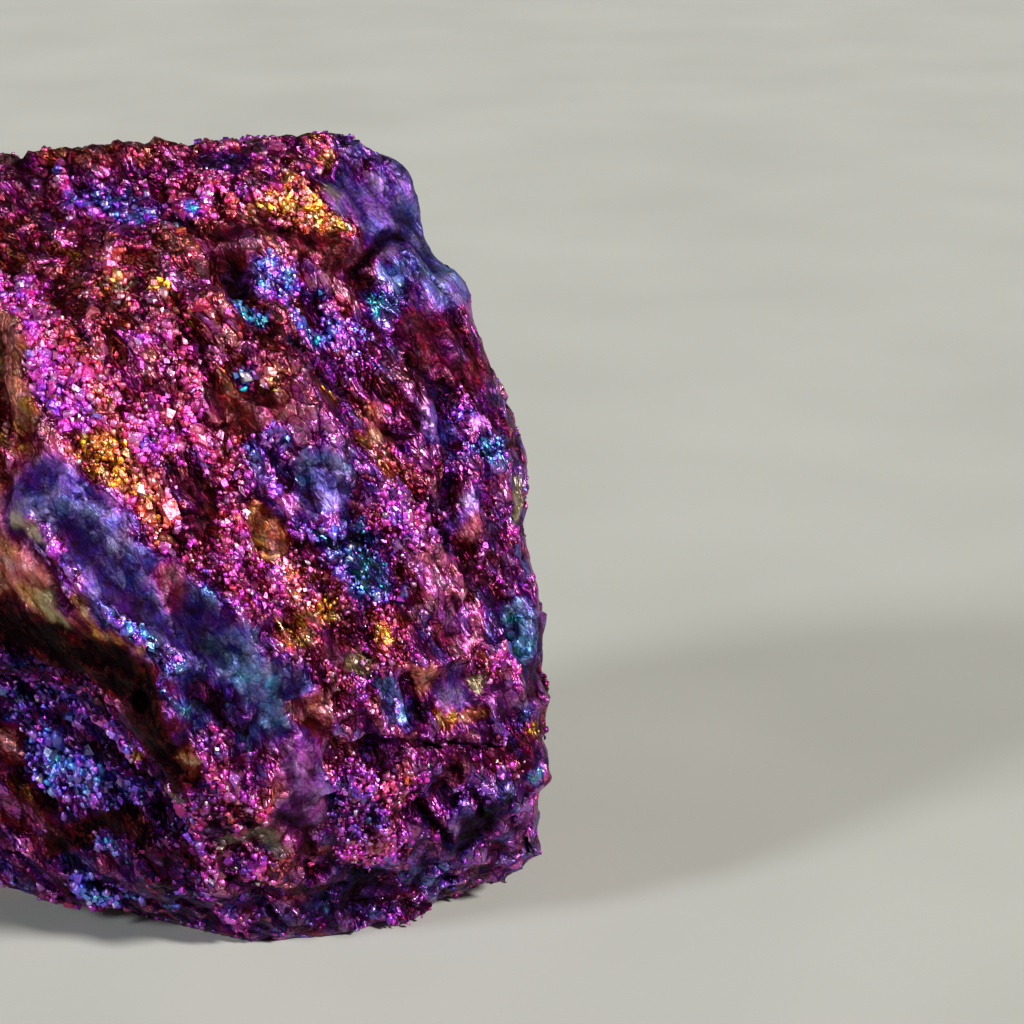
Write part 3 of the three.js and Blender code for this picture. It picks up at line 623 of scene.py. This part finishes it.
SIDES = ("front", "right", "back", "left")
MOST_GRAINS = 16000  # on each side, at 12 triangles a grain
GRAIN_SPACING = 0.34
GRAIN_SIZE = 0.225
GRAIN_LENGTH = 1.25  # a grain's length over its width
JITTER = 0.28  # how far a grain may lie from its place
SPARKS = 0.12  # the share of grains that are brighter than those round them
WHITE = 0.011  # the share with almost no tarnish
ROUND = 0.6  # the share that are rounded, not flat-faced
CLEAVAGE = np.array((0.4, -0.77, 0.49))  # the way that the brightest faces look
RECESS_CLEAVAGE = np.array((-0.42, -0.79, 0.44))  # the same for the stone in the lower left recess
RECESS = [(-10, -12, 24), (-7, -12, 15), (-2, -14, 10)]
FINER_FROM, FINER_OVER = 4, 12  # the grains get smaller to the right of this, over this distance
GRAIN_SIDES = [(a, b, b + 4, a + 4) for a, b in ((0, 1), (1, 2), (2, 3), (3, 0))]
GRAIN_FACES = np.array([*GRAIN_SIDES, (4, 5, 6, 7), (3, 2, 1, 0)])
GRAIN_MAP = np.array([(u, v) for low, high in ((0.02, 0.98), (0.25, 0.75))
                      for u, v in ((low, low), (high, low), (high, high), (low, high))])


def side_of(points):
    """0 front, 1 right, 2 back, 3 left, by where a point lies round the stone's middle."""
    turn = np.arctan2(points[:, 1] - STONE_MIDDLE.y, points[:, 0] - STONE_MIDDLE.x)
    return np.floor((turn + math.radians(135)) / math.radians(90)).astype(int) % 4


def spread_out(points, random):
    """The numbers of some of the points: one in each small cell of space."""
    order = random.permutation(len(points))
    cells = np.floor(points[order] / GRAIN_SPACING)
    return order[np.unique(cells, axis=0, return_index=True)[1]]


def grain_corners(surface, lustre_and_painted_light, chosen, lean, random):
    """Corner points of one small block for each chosen vertex: four at its foot, four on its top.

    Lean is how much each one faces the bright way of the metal near it.
    """
    count = len(chosen)
    points = surface.points[chosen]
    cluster = chance3(np.floor(shaken(points, 2, 0.6, 31) / 1.9), 32) - 0.5
    wide_cluster = chance3(np.floor(shaken(points, 4, 1.2, 35) / 4.3), 36) - 0.5
    up = surface.normals[chosen] + 0.45 * cluster + 0.35 * wide_cluster
    recess = covered(points, RECESS, 6)[:, None]
    up += lean[:, None] * (1 + recess) * (CLEAVAGE + (RECESS_CLEAVAGE - CLEAVAGE) * recess)
    up = unit(up + random.normal(0, 0.2, (count, 3)))
    spin = FLOW + random.normal(0, 0.4, (count, 3))
    long_way = unit(spin - np.sum(spin * up, axis=1, keepdims=True) * up)
    wide_way = np.cross(up, long_way)
    size = GRAIN_SIZE * np.exp(random.normal(0, 0.3, count)) * (1 + 0.3 * wander(points, 3, 33))
    size *= 0.95 + 0.45 * np.clip(lustre_and_painted_light[chosen], 0, 1)
    size *= 1 - 0.35 * np.clip((points[:, 0] - FINER_FROM) / FINER_OVER, 0, 1)
    points = points + long_way * random.uniform(-JITTER, JITTER, (count, 1))
    points += wide_way * random.uniform(-JITTER, JITTER, (count, 1))
    rise = size * random.uniform(0.25, 0.6, count)
    corners = np.empty((count, 8, 3))
    for place in range(4):
        turn = math.radians(90) * place + random.uniform(-0.6, 0.6, count)
        reach = size * random.uniform(0.7, 1.25, count)
        out = long_way * (GRAIN_LENGTH * reach * np.cos(turn))[:, None]
        out = out + wide_way * (reach * np.sin(turn))[:, None]
        corners[:, place] = points + 1.1 * out - up * (0.6 * size)[:, None]
        corners[:, place + 4] = points + 0.7 * out + up * rise[:, None]
    corners[:, :, 2] = np.maximum(corners[:, :, 2], 0.02)
    return corners


def grain_map(count):
    """Each grain's own small square on the map, with its top in the middle."""
    across = math.ceil(math.sqrt(count))
    cell = np.stack(np.divmod(np.arange(count), across)[::-1], axis=1)
    corners = (cell[:, None] + GRAIN_MAP[None]) / across
    return corners[:, GRAIN_FACES.ravel()].reshape(-1, 2)


def add_grains(surface, coat, side, random):
    """One mesh with all the grains on a side of the stone."""
    film, lustre_and_painted_light, grain, bare, tone = coat
    inside = (side_of(surface.points) == side) & (surface.points[:, 2] > 0.5)
    share = 3.2 * grain - 1.9 + 0.9 * wander(surface.points, 1.3, 38)
    wanted = np.flatnonzero(inside & (random.random(len(grain)) < share))
    chosen = wanted[spread_out(surface.points[wanted], random)][:MOST_GRAINS]
    sparks = random.random(len(chosen)) < SPARKS
    white = random.random(len(chosen)) < WHITE
    lean = 1.7 * np.clip(lustre_and_painted_light[chosen] - 0.4, 0, 1) + 1.5 * white
    corners = grain_corners(surface, lustre_and_painted_light, chosen, lean, random)
    faces = (GRAIN_FACES[None] + 8 * np.arange(len(chosen))[:, None, None]).reshape(-1, 4)
    name = "grains_" + SIDES[side]
    mesh = bpy.data.meshes.new(name)
    mesh.from_pydata((corners.reshape(-1, 3) * MM).tolist(), [], faces.tolist())
    places = grain_map(len(chosen)).astype(np.float32)
    mesh.uv_layers.new(name="OFBake").uv.foreach_set("vector", places.ravel())
    own = {
        "film": film[chosen] + random.normal(0, 0.07, len(chosen)),
        "lustre_and_painted_light": lustre_and_painted_light[chosen] + random.normal(0.03, 0.17, len(chosen)) + 0.4 * sparks + white,
        "bare": bare[chosen],
        "tone": tone[chosen],
        "pale": np.clip(random.normal(0.09, 0.18, len(chosen)) + 0.9 * white, 0, 1),
    }
    for key, values in own.items():
        store(mesh, key, np.repeat(np.clip(values, -1, 1), 8))
    grains = new_object(name, mesh)
    round_ones = random.random(len(chosen)) < ROUND
    mesh.polygons.foreach_set("use_smooth", np.repeat(round_ones, len(GRAIN_FACES)))
    mesh.materials.append(grain_material())
    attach(grains, "root")


# ---- materials -------------------------------------------


def linear(colour):
    """Linear colour of an sRGB one."""
    return tuple(c / 12.92 if c <= 0.04045 else ((c + 0.055) / 1.055) ** 2.4 for c in colour)


class Nodes:
    """A short way to write a material's nodes."""

    def __init__(self, name):
        self.material = bpy.data.materials.new(name)
        self.material.use_nodes = True
        self.tree = self.material.node_tree
        self.shader = self.tree.nodes["Principled BSDF"]

    def add(self, kind, inputs=None, **settings):
        node = self.tree.nodes.new(kind)
        for key, value in settings.items():
            setattr(node, key, value)
        for key, value in (inputs or {}).items():
            self.feed(node.inputs[key], value)
        return node

    def feed(self, socket, value):
        if isinstance(value, bpy.types.NodeSocket):
            self.tree.links.new(value, socket)
        else:
            socket.default_value = value

    def shade(self, name, value):
        """Sets one of the material's own properties."""
        self.feed(self.shader.inputs[name], value)

    def math(self, operation, *values, clamp=False):
        node = self.add("ShaderNodeMath", operation=operation, use_clamp=clamp)
        for socket, value in zip(node.inputs, values):
            self.feed(socket, value)
        return node.outputs[0]

    def plus(self, start, value, factor, clamp=False):
        """start + value * factor"""
        return self.math("MULTIPLY_ADD", value, factor, start, clamp=clamp)

    def centred(self, value):
        return self.math("SUBTRACT", value, 0.5)

    def vector(self, operation, *values, scale=None):
        node = self.add("ShaderNodeVectorMath", operation=operation)
        for socket, value in zip(node.inputs, values):
            self.feed(socket, value)
        if scale is not None:
            self.feed(node.inputs["Scale"], scale)
        return node.outputs["Value" if operation == "DOT_PRODUCT" else "Vector"]

    def mix(self, share, first, second, blend="MIX"):
        node = self.add("ShaderNodeMix", data_type="RGBA", blend_type=blend)
        self.feed(node.inputs[0], share)
        self.feed(node.inputs[6], first)
        self.feed(node.inputs[7], second)
        return node.outputs[2]

    def ramp(self, value, stops):
        node = self.add("ShaderNodeValToRGB", {0: value})
        elements = node.color_ramp.elements
        while len(elements) < len(stops):
            elements.new(0.5)
        for element, (place, colour) in zip(elements, stops):
            element.position = place
            element.color = (*linear(colour), 1)
        return node.outputs[0]

    def attribute(self, name):
        return self.add("ShaderNodeAttribute", attribute_name=name).outputs["Fac"]

    def object_position(self):
        return self.add("ShaderNodeTexCoord").outputs["Object"]

    def noise(self, position, size, detail=2.0):
        """Smooth noise from 0 to 1 with waves of this size in mm."""
        inputs = {"Vector": position, "Scale": 1 / (size * MM), "Detail": detail}
        return self.add("ShaderNodeTexNoise", inputs).outputs["Fac"]

    def bump(self, height, distance, normal=None):
        """The normal over bumps of this height, where 1 stands for this distance in mm."""
        node = self.add("ShaderNodeBump", {"Strength": 1.0, "Distance": distance * MM, "Height": height})
        if normal is not None:
            self.feed(node.inputs["Normal"], normal)
        return node.outputs[0]


BARE_COLOURS = (
    (0.0, (0.40, 0.45, 0.42)),
    (0.5, (0.52, 0.45, 0.28)),
    (1.0, (0.88, 0.82, 0.66)),
)
DIRT = (0.36, 0.17, 0.15)
PALE_METAL = (0.90, 0.84, 0.90)
# the colour where the brightness falls below 0: painted shade in the hollows, the cracks and the recess, and
# the darkest patches
BLACK_AND_PAINTED_SHADE = (0.006, 0.0015, 0.003)
DULL = 0.16  # how bright the dull metal is beside the bright
SMALL_FACETS = 0.3
LARGE_FACETS = 1.0


def tarnish_colour(nodes, film, lustre_and_painted_light, pale):
    """Base colour from the film's thickness, how bright the metal is, which carries painted highlights and
    painted shade, and how pale.
    """
    colour = nodes.ramp(film, FILM_COLOURS)
    colour = nodes.mix(pale, colour, (*linear(PALE_METAL), 1))
    dark = nodes.mix(1.0, colour, colour, blend="MULTIPLY")
    dirt = nodes.plus(-0.65, nodes.noise(nodes.object_position(), 0.9), 2, clamp=True)
    dark = nodes.mix(dirt, dark, (*linear(DIRT), 1))
    dark = nodes.mix(1.0, dark, (DULL, DULL, DULL, 1), blend="MULTIPLY")
    colour = nodes.mix(nodes.math("POWER", nodes.math("MAXIMUM", lustre_and_painted_light, 0), 1.5), dark, colour)
    # below 0 the colour goes toward near black: painted shade
    colour = nodes.mix(nodes.math("ADD", lustre_and_painted_light, 1, clamp=True), (*BLACK_AND_PAINTED_SHADE, 1), colour)
    bare = nodes.ramp(nodes.attribute("tone"), BARE_COLOURS)
    return nodes.mix(nodes.attribute("bare"), colour, bare)


def facet_cells(nodes, position, size):
    """Random colours of cells, this size in mm, and the distance to each cell's edge."""
    inputs = {"Vector": position, "Scale": 1 / (size * MM)}
    cells = nodes.add("ShaderNodeTexVoronoi", inputs)
    edges = nodes.add("ShaderNodeTexVoronoi", inputs, feature="DISTANCE_TO_EDGE")
    return cells.outputs["Color"], edges.outputs["Distance"]


def tilted_normal(nodes, *tilts):
    """The face's normal, tilted a random way in each cell. A tilt is the cells' colours and an amount."""
    total = nodes.add("ShaderNodeNewGeometry").outputs["Normal"]
    for colour, amount in tilts:
        own = nodes.vector("SUBTRACT", colour, (0.5, 0.5, 0.5))
        total = nodes.vector("ADD", total, nodes.vector("SCALE", own, scale=amount))
    return nodes.vector("NORMALIZE", total)


def along_breaks(nodes, position, times):
    """Positions for patterns that are this many times longer along the breaks' own direction."""
    reach = nodes.vector("DOT_PRODUCT", position, tuple(FLOW))
    part = nodes.vector("SCALE", tuple(FLOW), scale=nodes.math("MULTIPLY", reach, 1 - 1 / times))
    return nodes.vector("SUBTRACT", position, part)


def bent_positions(nodes, position, size, distance):
    """The positions, moved by noise of this size by up to about this distance, both in mm."""
    inputs = {"Vector": position, "Scale": 1 / (size * MM), "Detail": 2.0}
    push = nodes.add("ShaderNodeTexNoise", inputs).outputs["Color"]
    push = nodes.vector("SUBTRACT", push, (0.5, 0.5, 0.5))
    return nodes.vector("ADD", position, nodes.vector("SCALE", push, scale=2 * distance * MM))


def stone_material():
    """The broken metal between the grains: small crumpled facets with painted shade in the lines between
    them.
    """
    nodes = Nodes("tarnished_ore")
    position = nodes.object_position()
    along = bent_positions(nodes, along_breaks(nodes, position, STRETCH), 1.2, 0.5)
    crumple = nodes.plus(0.15, nodes.attribute("grain"), 1.5, clamp=True)
    small, small_edge = facet_cells(nodes, along, SMALL_FACETS)
    large, large_edge = facet_cells(nodes, along, LARGE_FACETS)
    small_parts = nodes.add("ShaderNodeSeparateColor", {"Color": small}).outputs
    large_parts = nodes.add("ShaderNodeSeparateColor", {"Color": large}).outputs

    # the film: its own colour in each facet
    shift = nodes.math("MULTIPLY", nodes.centred(small_parts[0]), 0.16)
    shift = nodes.plus(shift, nodes.centred(large_parts[0]), 0.3)
    shift = nodes.plus(shift, nodes.centred(nodes.noise(along, 0.6)), 0.3)
    film = nodes.plus(nodes.attribute("film"), shift, crumple)

    # the brightness: uneven, with painted shade along the lines between the facets and a fine speckle
    uneven = nodes.centred(nodes.noise(along, 0.7, 4.0))
    uneven = nodes.plus(uneven, nodes.centred(large_parts[1]), 0.6)
    lustre_and_painted_light = nodes.plus(nodes.attribute("lustre_and_painted_light"), uneven, crumple)
    lines = nodes.math("MULTIPLY", nodes.plus(0.15, large_edge, 9, clamp=True),
                       nodes.plus(0.5, small_edge, 4, clamp=True))
    painted_crease_shade = nodes.math("MULTIPLY", nodes.math("SUBTRACT", 1.0, lines), crumple)
    lustre_and_painted_light = nodes.plus(lustre_and_painted_light, painted_crease_shade, -0.8)
    lustre_and_painted_light = nodes.plus(lustre_and_painted_light, nodes.centred(nodes.noise(position, 0.2)), 0.6)

    pale = nodes.math("MULTIPLY", nodes.math("SUBTRACT", nodes.noise(position, 1.3), 0.45), 1.1, clamp=True)
    pale = nodes.plus(pale, small_parts[2], 0.24)
    pale = nodes.plus(pale, nodes.math("SUBTRACT", 1.0, crumple), 0.1)
    nodes.shade("Base Color", tarnish_colour(nodes, film, lustre_and_painted_light, pale))

    # the facets' tilts, with fine grooves between them
    normal = tilted_normal(nodes, (large, nodes.math("MULTIPLY", crumple, 0.85)),
                           (small, nodes.math("MULTIPLY", crumple, 0.75)))
    height = nodes.math("MULTIPLY", nodes.math("MINIMUM", large_edge, 0.15), 2)
    height = nodes.plus(height, nodes.math("MINIMUM", small_edge, 0.2), 0.6)
    height = nodes.math("MULTIPLY", height, crumple)
    height = nodes.plus(height, nodes.noise(along, 0.3, 3.0), 0.5)
    nodes.shade("Normal", nodes.bump(height, 0.2, normal))
    roughness = nodes.plus(0.7, crumple, -0.3)
    nodes.shade("Roughness", nodes.plus(roughness, lustre_and_painted_light, -0.1))
    nodes.shade("Metallic", 1)
    return nodes.material


def grain_material():
    """The grains: each has its own film, brightness and paleness."""
    if "ore_grains" in bpy.data.materials:
        return bpy.data.materials["ore_grains"]
    nodes = Nodes("ore_grains")
    position = nodes.object_position()
    film = nodes.plus(nodes.attribute("film"), nodes.centred(nodes.noise(position, 0.3)), 0.16)
    colour = tarnish_colour(nodes, film, nodes.attribute("lustre_and_painted_light"), nodes.attribute("pale"))
    nodes.shade("Base Color", colour)
    nodes.shade("Roughness", nodes.plus(0.35, nodes.noise(position, 0.5, 0.0), 0.2))
    nodes.shade("Normal", nodes.bump(nodes.noise(position, 0.3), 0.12))
    nodes.shade("Metallic", 1)
    return nodes.material


def floor_material():
    nodes = Nodes("studio_floor")
    position = nodes.object_position()
    speckle = nodes.ramp(nodes.noise(position, 40), ((0.3, (0.71, 0.71, 0.68)), (0.7, (0.74, 0.74, 0.71))))
    nodes.shade("Base Color", speckle)
    nodes.shade("Roughness", 0.9)
    return nodes.material


# ---- studio ----------------------------------------------

# the ways to the lights in the camera's axes: right, up, back towards the camera
KEY_WAY = (0.72, 0.42, 0.6)
KEY_STRENGTH = 4.3
KEY_WIDTH = math.radians(9)
KEY_COLOUR = (1, 0.98, 0.94)
FILL_WAY = (-0.75, 0.3, 0.6)
FILL_STRENGTH = 1.7
FILL_WIDTH = math.radians(10)
FILL_COLOUR = (0.88, 0.94, 1)
# height in the sky and the colour there
SKY_STOPS = ((0.1, (0.42, 0.43, 0.41, 1)), (0.4, (0.03, 0.032, 0.032, 1)))
FLOOR_SIZE = 30  # in metres
FLOOR_GAP = 0.02  # the floor lies this far under the stone


def add_floor():
    bpy.ops.mesh.primitive_plane_add(size=FLOOR_SIZE, location=(0, 0, -FLOOR_GAP * MM))
    floor = bpy.context.object
    floor.name = "floor"
    floor.data.materials.append(floor_material())


def in_scene(right, up, back):
    """A direction given in the camera's axes, as one in the scene's."""
    right_way, up_way, back_way = camera_axes()
    return (right_way * right + up_way * up + back_way * back).normalized()


def add_sun(name, way, strength, width, colour):
    data = bpy.data.lights.new(name, "SUN")
    data.energy = strength
    data.angle = width
    data.color = colour
    light = new_object(name, data)
    light.rotation_euler = in_scene(*way).to_track_quat("Z", "Y").to_euler()


def add_world():
    """A dim studio that is paler near the horizon, so that low views have a pale background."""
    world = bpy.data.worlds.new("studio")
    world.use_nodes = True
    nodes = world.node_tree.nodes
    links = world.node_tree.links
    place = nodes.new("ShaderNodeTexCoord")
    split = nodes.new("ShaderNodeSeparateXYZ")
    shade = nodes.new("ShaderNodeValToRGB")
    links.new(place.outputs["Generated"], split.inputs[0])
    links.new(split.outputs["Z"], shade.inputs[0])
    links.new(shade.outputs[0], nodes["Background"].inputs["Color"])
    for stop, (height, colour) in zip(shade.color_ramp.elements, SKY_STOPS):
        stop.position = height
        stop.color = colour
    bpy.context.scene.world = world


def add_lights():
    add_sun("key", KEY_WAY, KEY_STRENGTH, KEY_WIDTH, KEY_COLOUR)
    add_sun("fill", FILL_WAY, FILL_STRENGTH, FILL_WIDTH, FILL_COLOUR)
    add_world()
    bpy.context.scene.view_settings.view_transform = "Standard"


# ---- the stone -------------------------------------------

MAP_SPAN = 1.06  # the part of space that a chart covers, over the stone's size
MAP_MARGIN = 0.01
SHARP_ANGLE = math.radians(21)  # edges sharper than this aren't smoothed


def box_map(surface):
    """A map of six charts, one for each way that the stone's faces look."""
    mesh = surface.mesh
    facing = surface.smoothed(surface.normals, 25)
    corner = read(mesh.loops, "vertex_index")
    looks = facing[corner[read(mesh.polygons, "loop_start")]]
    axis = np.argmax(np.abs(looks), axis=1)
    chart = 2 * axis + (looks[np.arange(len(axis)), axis] < 0)
    chart = np.repeat(chart, read(mesh.polygons, "loop_total"))
    size = np.array(STONE_HIGH - STONE_LOW) * MAP_SPAN
    place = (surface.points[corner] - np.array(STONE_MIDDLE)) / size + 0.5
    flat = np.empty((len(corner), 2))
    for way, (u, v) in enumerate(((1, 2), (0, 2), (0, 1))):
        rows = chart // 2 == way
        flat[rows] = place[rows][:, (u, v)]
    column, row = chart // 2, chart % 2
    flat = (np.stack((column, row), axis=1) + np.clip(flat, MAP_MARGIN, 1 - MAP_MARGIN)) / (3, 2)
    mesh.uv_layers.new(name="OFBake").uv.foreach_set("vector", flat.astype(np.float32).ravel())


def build_stone():
    stone = fine_copy_of_cad()
    surface = Surface(stone.data)
    grain = tarnish(surface.points)[2]
    carve(surface, grain)
    film, lustre_and_painted_light, grain, bare, tone = tarnish(surface.points)
    lustre_and_painted_light = paint_shade_and_edge_light(surface, lustre_and_painted_light)
    coat = (film, lustre_and_painted_light, grain, bare, tone)
    # the ground between the grains is darker where they lie thick: painted shade between the grains
    between = np.clip(3 * grain - 1.9, 0, 1)
    ground = (film - 0.06 * between, lustre_and_painted_light - 0.33 * between, grain, bare, tone)
    for name, values in zip(("film", "lustre_and_painted_light", "grain", "bare", "tone"), ground):
        store(stone.data, name, values)
    box_map(surface)
    stone.data.materials.clear()
    stone.data.materials.append(stone_material())
    stone.data.shade_smooth()
    stone.data.set_sharp_from_angle(angle=SHARP_ANGLE)
    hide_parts(CAD_NODE)
    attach(stone, "root")
    random = np.random.default_rng(SEED)
    for side in range(len(SIDES)):
        add_grains(surface, coat, side, random)


add_camera()
build_stone()
add_floor()
add_lights()
